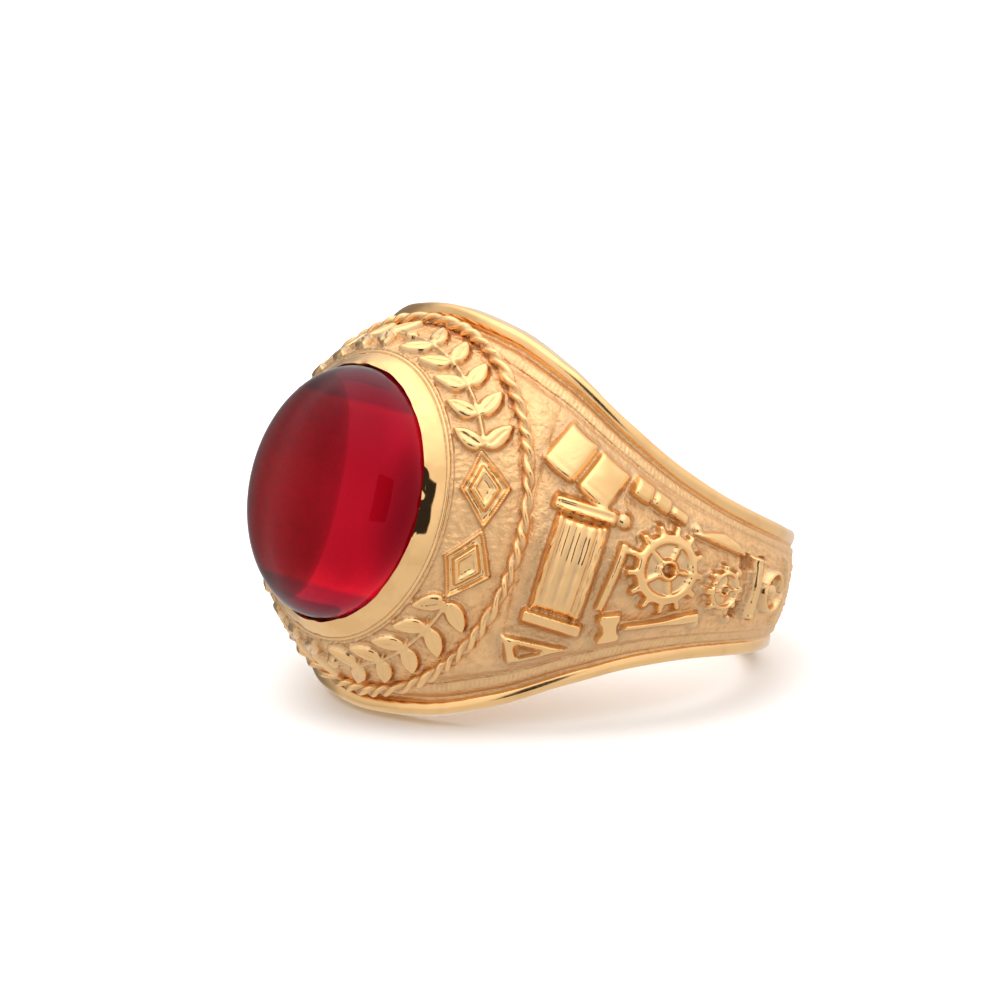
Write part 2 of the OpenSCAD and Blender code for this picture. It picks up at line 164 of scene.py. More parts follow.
def polygon(x, y, points):
    """Distance to a polygon, negative inside."""
    d, inside = np.full(x.shape, 1e9), np.zeros(x.shape, bool)
    for (x0, y0), (x1, y1) in zip(points, points[1:] + points[:1]):
        ex, ey = x1 - x0, y1 - y0
        t = np.clip(((x - x0) * ex + (y - y0) * ey) / (ex * ex + ey * ey), 0, 1)
        d = np.minimum(d, np.hypot(x - x0 - t * ex, y - y0 - t * ey))
        if y0 != y1:
            inside ^= ((y0 > y) != (y1 > y)) & (x < ex * (y - y0) / ey + x0)
    return np.where(inside, -d, d)


def blur(h, n, axis):
    """A smooth average over about n cells each way, along one axis."""
    k = np.hanning(2 * n + 3)[1:-1]
    k /= k.sum()
    wide = np.concatenate([np.repeat(h.take([0], axis), n, axis), h,
                           np.repeat(h.take([-1], axis), n, axis)], axis)
    out = np.zeros_like(h)
    for i, share in enumerate(k):
        out += share * wide.take(range(i, i + h.shape[axis]), axis)
    return out


def feet(h, top):
    """Near 1 on the steep walls of raised forms, up to their top edges, and 0 elsewhere."""
    steep = np.hypot(*np.gradient(h))
    return 0.95 * smooth(steep / 0.06) * (1 - smooth(h / top / 0.55 - 0.8))


def uneven(shape, seed, cells, size):
    """A cast surface's soft unevenness: seeded noise, size mm deep, a few cells across."""
    bumps = np.random.default_rng(seed).normal(size=shape)
    bumps = blur(blur(bumps, cells, 0), cells, 1)
    return size * bumps / bumps.std()


# Each form gives its height, 1 at its usual top, at places x and y, for a form l by w mm
CORNER = [(-0.42, -0.36), (0.58, -0.36), (-0.42, 0.64)]
SAIL = [(-0.5, -0.5), (0, -0.54), (0.5, -0.5), (0.45, -0.1), (0.26, 0.28), (0, 0.5),
        (-0.26, 0.16), (-0.42, -0.16)]


def page(x, y, l, w):
    """Half of an open book: it rises to a soft arch and shows three lines of leaves at its foot."""
    d = box(x, y + 0.1 * (1 - (2 * x / l) ** 2), l, w, 0.1)
    arch = 0.72 + 0.3 * np.sqrt(np.clip(1 - (1.7 * x / l) ** 2, 0, 1))
    lines = 0.2 * rise(np.abs((y / w + 0.5) * 8 % 1 - 0.5) / 8 * w - 0.06, 0.08) * (y < -0.25 * w)
    return rise(d, 0.11) * (arch - lines)


def corner(x, y, l, w):
    """A set square with its opening."""
    points = [(l * p, w * q) for p, q in CORNER]
    cx, cy = l * -0.16, w * -0.08
    d = polygon(x, y, points)
    hole = polygon(x, y, [(cx + (a - cx) * 0.36, cy + (b - cy) * 0.36) for a, b in points])
    marks = 0.22 * rise(np.abs((x / l) * 12 % 1 - 0.5) / 12 * l - 0.04, 0.05)
    marks = marks * (np.abs(y + 0.3 * w) < 0.05 * w)
    return rise(np.maximum(d, -hole), 0.1) * (0.92 + 0.12 * rise(d + 0.22, 0.12) - marks)


def sail(x, y, l, w):
    """A sail-shaped form with a roof and fine slanting lines near its edge."""
    d = polygon(x, y, [(l * p, w * q) for p, q in SAIL])
    roof = np.clip(-d / (0.28 * min(l, w)), 0, 1)
    barbs = 0.14 * rise(np.abs((x + y) / 0.34 % 1 - 0.5) * 0.34 - 0.06, 0.06)
    return rise(d, 0.1) * (0.66 + 0.46 * roof - barbs * (1 - roof))


def bar(x, y, l, w):
    """A moulding: a flat fillet between two rounded edges."""
    d = box(x, y, l, w)
    return rise(d, 0.12) * (1 - 0.18 * rise(d + min(l, w) * 0.3, 0.08))


def ruler(x, y, l, w):
    """A ruler with marks along one edge."""
    marks = rise(np.abs((y / 0.3) % 1 - 0.5) * 0.3 - 0.045, 0.05) * (x > 0)
    return rise(box(x, y, l, w), 0.1) * (1 - 0.3 * marks)


def handle(x, y, l, w):
    """A hammer's handle, thicker and ringed at its end."""
    wide = w * (0.62 + 0.38 * smooth((x / l + 0.1) / 0.4))
    across = np.sqrt(np.clip(1 - (y / (wide / 2)) ** 2, 0, 1))
    rings = 0.16 * rise(np.abs(x / 0.3 % 1 - 0.5) * 0.3 - 0.05, 0.05) * (x > l * 0.16)
    d = np.maximum(np.abs(x) - l / 2, np.abs(y) - wide / 2)
    return (0.5 + 0.6 * across - rings) * rise(d, 0.08)


def hammer(x, y, l, w):
    """A hammer's head with a waist."""
    waist = l * (0.74 + 0.26 * smooth((np.abs(y) / w - 0.1) / 0.14))
    d = np.maximum(np.abs(x) - waist / 2, np.abs(y) - w / 2)
    faces = 0.12 * rise(np.abs(np.abs(y) - w * 0.39) - 0.03, 0.05)
    return rise(d, 0.12) * (0.85 + 0.17 * np.sqrt(np.clip(1 - (2 * x / l) ** 2, 0, 1)) - faces)


def fluted(x, y, l, w):
    """A column's shaft: three rounded flutes between two raised edges."""
    u = np.abs(x) / l
    lip = smooth((u - 0.3) / 0.06) * smooth((0.5 - u) / 0.05)
    hump = 0.62 + 0.5 * np.sqrt(np.abs(np.sin(math.pi * np.clip((x / l + 0.31) / 0.62, 0, 1) * 3)))
    ends = smooth((w / 2 - np.abs(y) - 0.22) / 0.1)
    h = np.where(u < 0.31, hump * (0.72 + 0.28 * ends), 0.6)
    return rise(box(x, y, l, w), 0.1) * np.maximum(h, 1.3 * lip)


def hoop(x, y, l, w):
    """A hoop round a boss."""
    r = np.hypot(x, y) / (l / 2)
    ring = np.sqrt(np.clip(1 - ((r - 0.86) / 0.15) ** 2, 0, 1))
    boss = 0.8 * np.sqrt(np.clip(1 - (r / 0.42) ** 2, 0, 1))
    return np.maximum(ring, boss)


def pin(x, y, l, w):
    """A pin of three steps with a thread on the middle one."""
    h = np.zeros(x.shape)
    for i in range(3):
        wide = w * (1 - 0.24 * i)
        across = np.sqrt(np.clip(1 - (y / (wide / 2)) ** 2, 0, 1)) ** 0.7
        thread = 0.16 * rise(np.abs(x / 0.26 % 1 - 0.5) * 0.26 - 0.05, 0.05) * (i == 1)
        ends = rise(np.abs(x - l * (i - 1) / 3) - l * 0.165, 0.1)
        h = np.maximum(h, (1.2 - 0.16 * i - thread) * across * ends)
    return h


def wheel(x, y, l, w):
    """A toothed wheel with a rim, spokes and a hub that stands up."""
    r, rho = l / 2, np.hypot(x, y)
    n = round(2 * math.pi * r * 0.9)
    angle = np.arctan2(y, x) / (2 * math.pi)
    tooth = np.abs((angle * n + 0.5) % 1 - 0.5) * 2 * math.pi / n * rho
    teeth = np.maximum(np.abs(rho - r * 0.86) - r * 0.14, tooth - 0.235 + 0.05 * (rho - r * 0.86))
    rim = np.abs(rho - r * 0.67) - r * 0.13
    web = np.maximum(rho - r * 0.6, r * 0.14 - rho)
    spokes = 5 if r > 1.6 else 4
    spoke = np.abs((angle * spokes + 0.5) % 1 - 0.5) * 2 * math.pi / spokes * rho
    arms = np.maximum(np.abs(rho - r * 0.38) - r * 0.2, spoke - r * 0.075)
    hub = np.maximum(rho - r * 0.26, r * 0.11 - rho)
    return np.maximum.reduce([0.92 * rise(teeth, 0.09), rise(rim, 0.09), 0.5 * rise(web, 0.09),
                              0.86 * rise(arms, 0.09), 1.14 * rise(hub, 0.1)])


def stud(x, y, l, w):
    """A round stud."""
    return np.sqrt(np.clip(1 - (np.hypot(x, y) / (l / 2)) ** 2, 0, 1))


# Form, place along the shoulder (0 at the rope, 1 at the back), place across it (-1 to 1),
# turn in degrees, length and width as shares of MOTIF_L, height as a share of RELIEF
MOTIFS = [
    (fluted, 0.068, -0.13, -4, 0.5, 0.91, 1.3), (bar, 0.072, 0.33, -4, 0.62, 0.15, 1.5),
    (bar, 0.063, -0.58, -4, 0.61, 0.14, 1.4), (page, 0.035, 0.67, -27, 0.38, 0.44, 1.2),
    (page, 0.09, 0.61, -27, 0.38, 0.42, 1.2), (corner, 0.047, -0.76, 23, 0.73, 0.3, 1.1),
    (ruler, 0.131, -0.16, -8, 0.11, 0.68, 0.8), (wheel, 0.211, 0.02, 0, 0.84, 0.84, 1.2),
    (wheel, 0.334, -0.11, 10, 0.49, 0.49, 1.1), (handle, 0.234, -0.63, 17.5, 0.82, 0.12, 1),
    (hammer, 0.148, -0.66, 17.5, 0.25, 0.31, 1.4), (pin, 0.187, 0.7, -20, 0.68, 0.22, 1.2),
    (sail, 0.315, 0.63, -9, 0.75, 0.15, 1), (bar, 0.416, 0, 4, 0.13, 0.59, 1.1),
    (hoop, 0.483, 0, 0, 0.41, 0.41, 1), (bar, 0.555, 0.5, 16, 0.09, 0.34, 0.4),
    (bar, 0.555, -0.5, -16, 0.09, 0.34, 0.4), (stud, 0.13, 0.36, 0, 0.17, 0.17, 0.9),
    (stud, 0.262, 0.62, 0, 0.11, 0.11, 0.7), (stud, 0.3, -0.66, 0, 0.12, 0.12, 0.7),
    (stud, 0.368, 0.2, 0, 0.1, 0.1, 0.6), (stud, 0.372, -0.6, 0, 0.1, 0.1, 0.6)]


def along_shoulder(a, k):
    """Distance along the shoulder from its place k, and the angle of that place."""
    a0 = ROPE_ANGLE + k * (180 - ROPE_ANGLE)
    return (a - a0) * math.pi / 180 * float(middle_r(np.float64(a0))), a0


def shoulder_relief(a, w):
    """Height of the raised forms and the pockets on a shoulder, mm."""
    h = np.zeros(a.shape)
    for form, k, across, spin, l, wide, tall in MOTIFS:
        x, a0 = along_shoulder(a, k)
        y = w - across * float(field_half(np.float64(a0)))
        s = math.radians(spin)
        x, y = x * math.cos(s) + y * math.sin(s), y * math.cos(s) - x * math.sin(s)
        near = (np.abs(x) < MOTIF_L) & (np.abs(y) < MOTIF_L)
        drawn = form(x[near], y[near], l * MOTIF_L, wide * MOTIF_L)
        h[near] = np.maximum(h[near], tall * RELIEF * drawn)
    for k in (0.388, 0.442):
        x = along_shoulder(a, k)[0]
        for side in (-1, 1):
            d = box(x, w - side * 0.22 * MOTIF_L, 0.14 * MOTIF_L, 0.16 * MOTIF_L, 0.15)
            h -= POCKET_D * rise(d, 0.16) * (h < 0.05)
    return h


# Meshes
def rows_of_quads(m, n, close_m, close_n):
    """Faces of a grid of m by n points, closed round either way or open."""
    i = np.arange(m if close_m else m - 1)[:, None]
    j = np.arange(n if close_n else n - 1)[None, :]
    i2, j2 = (i + 1) % m, (j + 1) % n
    return np.stack([i * n + j, i2 * n + j, i2 * n + j2, i * n + j2], -1).reshape(-1, 4)


def piece(name, points, quads, caps, polish, painted_shade, material, node, sharp=60):
    """A closed mesh that rides on the ring, from points in mm on the worn ring.

    polish goes to the material as an attribute, how bright a place is rubbed, and so do the
    shade values, how much painted shade darkens a place.
    """
    p = np.asarray(points, float).reshape(-1, 3)
    a, b, c, d = (p[quads[:, i]] for i in range(4))
    mid = p.mean(0)
    volume = (np.einsum("ij,ij->i", a - mid, np.cross(b - mid, c - mid))
              + np.einsum("ij,ij->i", a - mid, np.cross(c - mid, d - mid))).sum()
    if volume < 0:
        quads = quads[:, ::-1]
        caps = [cap[::-1] for cap in caps]
    mesh = bpy.data.meshes.new(name)
    mesh.from_pydata(lying(p).tolist(), [], quads.tolist() + [list(map(int, cap)) for cap in caps])
    for key, values in (("polish", polish), ("painted_shade", painted_shade)):
        if values is not None:
            layer = mesh.attributes.new(key, "FLOAT", "POINT")
            values = np.broadcast_to(values, len(p)).astype(np.float32)
            layer.data.foreach_set("value", values.ravel())
    mesh.polygons.foreach_set("use_smooth", np.ones(len(mesh.polygons), bool))
    mesh.set_sharp_from_angle(angle=math.radians(sharp))
    mesh.materials.append(material)
    ob = bpy.data.objects.new(name, mesh)
    bpy.context.scene.collection.objects.link(ob)
    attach(ob, "root")
    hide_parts(node)
    return ob


def around(a, r, w):
    """Points at angles, radii and places across the band."""
    t = np.radians(a)
    return np.stack([r * np.sin(t), -r * np.cos(t), w + 0 * r], -1)


def columns():
    """Angles of the half hoop's sections: close together where the relief is."""
    a = np.linspace(0, 180, 7201)
    spacing = np.interp(a, [0, 0.3, 2, 22, 33, 122, 130, 177, 179.7, 180],
                        [0.06, 0.06, 0.7, 0.6, 0.3, 0.34, 1.2, 1.3, 0.06, 0.06])
    n = np.concatenate([[0], np.cumsum((1 / spacing[1:] + 1 / spacing[:-1]) / 2 * np.diff(a))])
    count = int(round(n[-1] * 0.92))  # keeps each half under 200,000 triangles
    return np.interp(np.linspace(0, n[-1], count + 1), n, a)


def shades(h, top, near, far, recess, full, shine, lap=0):
    """Polish and painted shade of relief h: bright tops and edges, painted brown shade in recesses
    and on walls.

    Where the relief closes on itself, its averages look lap rows past its ends.
    """
    seen = np.concatenate([h[len(h) - lap:], h, h[:lap]])
    soft, wide = (blur(blur(seen, i, 0), j, 1)[lap:lap + len(h)] for i, j in ((5, 4), (14, 12)))
    polish = np.clip(h / (full * top), 0, 1) * shine + np.clip((h - soft) / 0.06, 0, 1) * 0.3
    # painted shade: darker below the soft and wide averages of the relief, and on steep walls
    painted_shade = (np.clip((soft - h) / near, 0, 1) * 0.7 + np.clip((wide - h) / far, 0, 1) * recess
              + feet(h, top))
    return polish, painted_shade


BEAD_PITCH, RAIL_SPAN = 0.24, 0.76  # from bead to bead, and the round rail's width


def rim_lines(a, hw, er, step):
    """Lines along a rim, from the field's border out over the rail and into the finger hole.

    Each is (radius, distance from the rim, polish, painted shade). They come with the border's
    distance from the rim.
    """
    shrink = np.clip(hw / 6.2, 0.62, 1)
    rim = np.stack([RAIL_R * np.radians(a), hw], -1)
    along = np.concatenate([[0], np.cumsum(np.linalg.norm(np.diff(rim, axis=0), axis=1))])
    beads = np.abs(np.sin(along * math.pi / BEAD_PITCH)) ** 0.7
    rail, groove = RAIL_SPAN + 0 * a, RAIL_SPAN + 0.38 * shrink
    ridge, border = groove + 0.52 * shrink, groove + 0.84 * shrink
    high, low = er - 0.1 * step, RAIL_R + (er - RAIL_R) * 0.5
    bottom = RAIL_R - 0.16 * read(SECTIONS, 3, a)
    # The last value of each line is painted shade: in the hollow, between the beads, in the groove
    # and at its foot.
    lines = []
    for k in np.linspace(0, 1, 8)[1:-1]:  # a hollow beside the field
        dip = 0.13 * step * math.sin(math.pi * k)
        lines.append((field_r(a, hw - border) * (1 - k) + high * k - dip,
                      border + (ridge - border) * k, 0.05, 0.2 + 0.75 * math.sin(math.pi * k)))
    for k in np.linspace(0, 1, 11):  # the beaded ridge
        bulge = math.sqrt(max(0, 1 - (2 * k - 1) ** 2))
        lines.append((high + (low - high) * k + 0.11 * step * bulge * (0.35 + 0.65 * beads),
                      ridge + (groove - ridge) * k, 0.4 * bulge * beads,
                      0.2 + 0.6 * (1 - beads) * bulge + 0.6 * (1 - bulge)))
    for k in np.linspace(0, 1, 8)[1:]:  # the groove
        lines.append((low + (bottom - low) * smooth(k * 1.25), groove + (rail - groove) * k * 0.7,
                      0.15, 0.55 + 0.35 * k))
    for k in np.linspace(0, 1, 4)[1:]:  # its foot at the rail
        lines.append((bottom + 0.02 * k, groove + (rail - groove) * (0.7 + 0.3 * k),
                      0.2 + 0.3 * k, 0.8 - 0.3 * k))
    for x in np.linspace(-1, 1, 17)[1:]:  # the round rail
        base = bottom + 0.02 if x < 0 else RIM_OUT
        lift = math.sqrt(max(0, 1 - x ** 2))
        lines.append((base + (RAIL_R - base) * lift, rail * (1 - x) / 2, min(1, 4 * (1 + x)), 0))
    for k in (0.25, 0.5, 0.75):  # the rim's flat
        lines.append((RIM_OUT + (RIM_IN - RIM_OUT) * k, 0.0, 1, 0))
    for t in np.linspace(0, math.pi / 2, 5):  # the eased edge of the hole
        lines.append((RIM_IN - EASE * math.sin(t), EASE * (1 - math.cos(t)), 1, 0))
    return lines, border


def hoop_half(name, mirror, gold):
    """Half of the hoop with its rails, grooves, beaded ridges and one shoulder's relief."""
    a = columns()
    hw, er = half_w(a), edge_r(a)
    step = np.clip((er - RAIL_R) / STEP, 0, 1)
    lines, border = rim_lines(a, hw, er, step)
    k = np.linspace(0, 1, 79)  # from the field's middle to its border
    k = np.concatenate([-k[::-1], k[1:]])
    inner = hw - border
    A = np.repeat(a[:, None], len(k), 1)
    W = k[None, :] * inner[:, None]
    margin = inner[:, None] - np.abs(W)
    H = shoulder_relief(A, W)
    H = np.where(H > 0, H * smooth(margin / 0.2), H)
    H = blur(blur(H - 0.1 * (1 - smooth(margin / 0.4)) * step[:, None], 2, 0), 2, 1)  # soft edges
    # Painted shade in the relief's recesses and on its walls, none on the plain back.
    polish, painted_shade = shades(H, RELIEF, 0.11, 0.13, 0.8, 0.6, 0.9)
    back = smooth((A - 128) / 22)  # the back is plain and polished
    polish = np.maximum(np.clip(polish, 0, 1), back)
    painted_shade = np.clip(painted_shade, 0, 1) * (1 - back)
    cast = smooth(margin / 0.3) * smooth((A - 3) / 5) * (1 - back)
    H = H + cast * (uneven(H.shape, 7, 4, 0.016) * (1.1 - polish) + uneven(H.shape, 4, 9, 0.012))
    # a section runs over the field from -w to +w, down into the hole, then up the other side
    field, n = len(k), len(k) + 2 * len(lines)
    pts = np.zeros((len(a), n, 3))
    # pol and cav hold each point's polish and painted shade.
    pol, cav = np.zeros((len(a), n)), np.zeros((len(a), n))
    pts[:, :field] = around(A, field_r(A, W) + H, W)
    pol[:, :field], cav[:, :field] = polish, painted_shade
    fade = back[:, 0]
    for i, (r, d, shine, dark) in enumerate(lines):
        for j, side in ((field + i, 1), (n - 1 - i, -1)):
            pts[:, j] = around(a, r + 0 * a, side * (hw - d))
            pol[:, j] = np.maximum(shine, fade)
            # painted shade of the rim lines, stronger where the border steps higher above the rail
            cav[:, j] = np.clip(dark, 0, 1) * (1 - fade) * (0.35 + 0.65 * step)
    if mirror:
        pts[..., 0] *= -1
    return piece(name, pts, rows_of_quads(len(a), n, False, True),
                 [np.arange(n), (len(a) - 1) * n + np.arange(n)[::-1]],
                 pol.ravel(), cav.ravel(), gold, "ring_body")


def oval(a, b, u, t):
    """Points at angles t, in radians, of ovals of half length a and half width b."""
    return np.stack(np.broadcast_arrays(b * np.cos(t), -u, a * np.sin(t)), -1)


def band_a(s):
    """Half length of the sloping band's oval, from its foot at s = 0 to its top at s = 1."""
    return ROPE_A - ROPE_IN + (BEZEL_A - ROPE_A + ROPE_IN) * s


def band_b(s):
    """Half width of that oval."""
    return ROPE_B - ROPE_IN + (BEZEL_B - ROPE_B + ROPE_IN) * s


def band_u(s):
    """Height of that oval."""
    return FOOT_U + BAND_RISE * s + 0.12 * np.sin(math.pi * s)


LEAF_L, LEAF_W, LOZ_L, LOZ_W, LINE_W = 1.9, 1.1, 4.2, 2.7, 0.26
LOZ_TURN = math.asin((LOZ_L / 2 - LINE_W / 2) / float(band_a(0.5)))
SPAN, LEAF_PAIRS = math.radians(124), 5  # of a garland, and to each side of its bud
RIDGE_IN, BAND_LENGTH = 0.3, 4.05  # the fine ridge's place, and the slope's length


def band_relief(t, s):
    """Relief of the sloping band, and the distance to its lozenges."""
    fold = np.abs((t + math.pi) % (2 * math.pi) - math.pi)  # 0 at the right, pi at the left
    fold = np.minimum(fold, math.pi - fold)  # 0 at both sides, pi/2 at both ends
    rad = np.hypot(band_b(s) * np.sin(t), band_a(s) * np.cos(t))
    rad_mid = np.hypot(band_b(0.5) * np.sin(t), band_a(0.5) * np.cos(t))
    length = math.hypot(float(band_a(0) - band_a(1)) + 0.18, BAND_RISE)
    y = (s - 0.5) * length
    along = (fold - math.pi / 2 + SPAN / 2) * rad_mid
    h = 0.8 * rise(np.maximum(np.abs(y) - 0.17, -along), 0.12)  # the stem
    bud = np.hypot((math.pi / 2 - fold) * rad, y)
    h = np.maximum(h, rise(bud - 0.45, 0.16) * (1 - 0.3 * rise(np.abs(bud - 0.24) - 0.03, 0.05)))
    lean = math.radians(52)
    for i in range(LEAF_PAIRS):
        t0 = math.pi / 2 - SPAN / 2 * (i + 0.7) / LEAF_PAIRS
        for side in (-1, 1):
            x0, y0 = (fold - t0) * rad, y - side * 0.2 * length
            x = x0 * math.cos(lean) + side * y0 * math.sin(lean)
            v = side * y0 * math.cos(lean) - x0 * math.sin(lean)
            k = np.clip(x / (LEAF_L / 2), -1, 1)
            wide = LEAF_W / 2 * np.sqrt(1 - k * k) ** 1.1 * (1 - 0.25 * k)
            d = np.where(np.abs(x) < LEAF_L / 2, np.abs(v) - wide, 1)
            vein = 0.24 * rise(np.abs(v) - 0.07, 0.08) * rise(np.abs(x + 0.12) - 0.66, 0.2)
            h = np.maximum(h, rise(d, 0.16) * (0.82 + 0.18 * rise(d + 0.1, 0.26) - vein))
    lean = math.radians(6)
    x0, y0 = (fold - LOZ_TURN) * rad_mid, y
    x = x0 * math.cos(lean) + y0 * math.sin(lean)
    v = y0 * math.cos(lean) - x0 * math.sin(lean)

    def lozenge(inset):
        """Distance to a lozenge set in from the outer one, negative inside."""
        l, w = LOZ_L / 2 - inset * 1.8, LOZ_W / 2 - inset * 1.2
        return (np.abs(x) / l + np.abs(v) / w - 1) * l * w / math.hypot(l, w)

    outer = lozenge(0)
    frame_line = 0.75 * rise(np.maximum(outer, -lozenge(LINE_W * 0.9)), 0.1)
    plate = 0.7 * rise(lozenge(LINE_W * 1.75), 0.11) - 0.45 * rise(lozenge(LINE_W * 2.7), 0.14)
    return np.where(outer < 0, np.maximum(frame_line, plate), h), outer


def ornament_band(gold):
    """The sloping band with its garlands and lozenges, and the cup under the stone."""
    m = 1300
    t = np.arange(m) * 2 * math.pi / m
    T, S = np.meshgrid(t, np.linspace(0, 1, 64), indexing="ij")
    h, lozenges = band_relief(T, S)
    h = h * smooth(S / 0.05) * smooth((1 - S - 0.06) / 0.05)
    ridge = np.abs((1 - S) * BAND_LENGTH - RIDGE_IN)  # distance from the ridge round the bezel
    H = blur(blur(h * BAND_RELIEF, 1, 0), 1, 1)
    H = H + 0.12 * np.sqrt(np.clip(1 - (ridge / 0.1) ** 2, 0, 1))
    p = oval(band_a(S), band_b(S), band_u(S), T)
    out = np.cross(np.roll(p, -1, 0) - np.roll(p, 1, 0), np.gradient(p, axis=1))
    out /= np.linalg.norm(out, axis=-1, keepdims=True)
    cast = smooth(S / 0.1) * smooth((1 - S) / 0.1)
    cast = cast * smooth(T / 0.1) * smooth((2 * math.pi - T) / 0.1)
    cast = cast * (uneven(H.shape, 5, 4, 0.014) * (1 - 0.7 * np.clip(h, 0, 1))
                   + uneven(H.shape, 6, 9, 0.01))
    p = p + out * (H + cast)[..., None]
    polish, painted_shade = shades(H, BAND_RELIEF, 0.09, 0.12, 0.75, 0.55, 0.8, lap=30)
    inside = rise(lozenges + 0.05, 0.1)
    polish = np.maximum.reduce([polish, 0.9 * inside, 0.8 * (1 - smooth(ridge / 0.11))])
    # Painted shade: less inside the lozenges, full at the band's foot by the rope and between the
    # fine ridge and the bezel.
    painted_shade = np.maximum.reduce([painted_shade * (1 - 0.7 * inside), 0.8 * (1 - smooth(S / 0.14)),
                                (1 - smooth((1 - S) / 0.15)) * smooth(ridge / 0.1)])
    seat_a, seat_b = LIP_A + LIP_FOLD + SEAT_GAP, LIP_B + LIP_FOLD + SEAT_GAP
    below = [(ROPE_A - BAND_OUT_A, ROPE_B - BAND_OUT_B, BORE + WALL * 0.6),
             (ROPE_A, ROPE_B, FOOT_U - ROPE_D)]
    above = [(seat_a, seat_b, BEZEL_U), (seat_a, seat_b, LIP_U - BASE_D - SEAT_GAP)]
    pts = np.concatenate([np.stack([oval(*row, t) for row in below], 1), p,
                          np.stack([oval(*row, t) for row in above], 1)], 1)
    n = pts.shape[1]

    def padded(values, foot, cup):
        """Values for the rows below and above the band too. The cup is matt under the stone."""
        rows = [np.full((m, 2), foot), values, np.full((m, 2), cup)]
        return np.clip(np.concatenate(rows, 1), 0, 1).ravel()

    # Painted shade is full on the rows under the band and light on the cup.
    return piece("ornament_band", pts, rows_of_quads(m, n, True, False),
                 [(np.arange(m) * n)[::-1], np.arange(m) * n + n - 1],
                 padded(polish, 0, 0), padded(painted_shade, 1, 0.2), gold, "ring_body")


def rope(gold):
    """Two worn strands twisted round each other, half sunk at the panel's foot."""
    m, n, turns = 2000, 28, 29
    t = np.arange(m)[:, None] * 2 * math.pi / m
    q = np.arange(n)[None, :] * 2 * math.pi / n
    length = np.concatenate([[0], np.cumsum(np.linalg.norm(
        np.diff(oval(ROPE_A, ROPE_B, 0.0, np.append(t[:, 0], 2 * math.pi)), axis=0), axis=1))])
    twist = (length[:-1] / length[-1] * 2 * math.pi * turns)[:, None]
    twist = twist + 0.5 * np.sin(9 * t + 1) + 0.25 * np.sin(23 * t)
    # each strand's middle is off from the rope's, and its own radius wears unevenly
    off, rad = 0.145, 0.185 + 0.02 * np.sin(13 * t + 2) + 0.02 * np.cos(37 * t) * np.sin(5 * t)
    r = np.zeros((m, n))
    for strand in (0, math.pi):
        ang = q - twist - strand
        reach = np.clip(rad ** 2 - (off * np.sin(ang)) ** 2, 0.002, 1)
        r = np.maximum(r, off * np.cos(ang) + np.sqrt(reach))
    d = np.stack([ROPE_A * np.cos(t), ROPE_B * np.sin(t)], -1)
    d /= np.linalg.norm(d, axis=-1, keepdims=True)
    height = FOOT_U + 0.05
    pts = np.stack([ROPE_B * np.cos(t) + r * np.cos(q) * d[..., 0],
                    -height - r * np.sin(q),
                    ROPE_A * np.sin(t) + r * np.cos(q) * d[..., 1]], -1)
    high = np.clip((r - 0.2) / 0.11, 0, 1) * np.clip(np.sin(q) * 1.5 + 0.5, 0, 1)
    # Painted shade in the crevices between the strands.
    return piece("rope_border", pts, rows_of_quads(m, n, True, True), [],
                 (0.2 + 0.65 * high).ravel(), np.clip(1 - (r - 0.15) / 0.14, 0, 1).ravel() * 0.8,
                 gold, "ring_body")


def bezel(gold):
    """The polished collar, pushed over the stone by hand, with a bead line at its foot."""
    m = 720
    t = np.arange(m)[:, None] * 2 * math.pi / m

    def wobble(seed, terms):
        """A seeded uneven line round the oval, from waves of these counts."""
        rng = np.random.default_rng(seed)
        waves = (rng.normal() / math.sqrt(k) * np.cos(k * t[:, 0] + rng.uniform(0, 6.3))
                 for k in terms)
        return sum(waves) / 2

    lip, face = wobble(3, range(9, 46, 4)), wobble(8, range(3, 15, 2))
    dents = wobble(5, range(11, 41, 3))
    # distance outside the lip, height, share of the face's wave, share of the lip's wave
    rows = [(-0.02, BEZEL_U - 0.5, 0, 0), (BEZEL_W - 0.1, BEZEL_U - 0.3, 0, 0)]
    for k in np.linspace(-0.4, 1, 9):
        ang = k * math.pi / 2
        rows.append((BEZEL_W + 0.125 * math.cos(ang), BEZEL_U - 0.12 + 0.1 * math.sin(ang), 0, 0))
    rows.append((BEZEL_W - 0.03, BEZEL_U - 0.04, 0, 0))
    for k in np.linspace(0, 1, 14):
        bow = math.sin(math.pi * k)
        d = BEZEL_W - 0.02 + (0.2 - BEZEL_W) * k + 0.035 * bow
        rows.append((d + dents * 0.012 * bow * math.cos(4 * k),
                     BEZEL_U + 0.02 + (BEZEL_H - 0.06) * k ** 0.92, 0.034 * bow, 0.08 * k ** 6))
    for k in np.linspace(0, 1, 6)[1:]:
        ang = k * math.pi / 2
        rows.append((0.18 - 0.13 * math.sin(ang),
                     LIP_U + 0.015 - 0.09 * (1 - math.cos(ang)) - 0.02 * k, 0, 0.08))
    rows.append((0.05, LIP_U - 0.5, 0, 0.02))
    n = len(rows)
    pts = np.stack([oval(LIP_A + d + face * f + lip * e, LIP_B + d + face * f + lip * e,
                         u + 0.4 * lip * e, t[:, 0]) for d, u, f, e in rows], 1)
    polish = np.array([0.4, 0.4] + [1.0] * 9 + [0.1] + [1.6] * (n - 12))
    # Painted shade under the bead line and in the line between the bead and the collar's face.
    painted_shade = np.array([1.0, 1.0, 0.9, 0.4] + [0.0] * 7 + [1.0] + [0.0] * (n - 12))
    return piece("bezel", pts, rows_of_quads(m, n, True, True), [],
                 np.tile(polish, m), np.tile(painted_shade, m), gold, "ring_body")


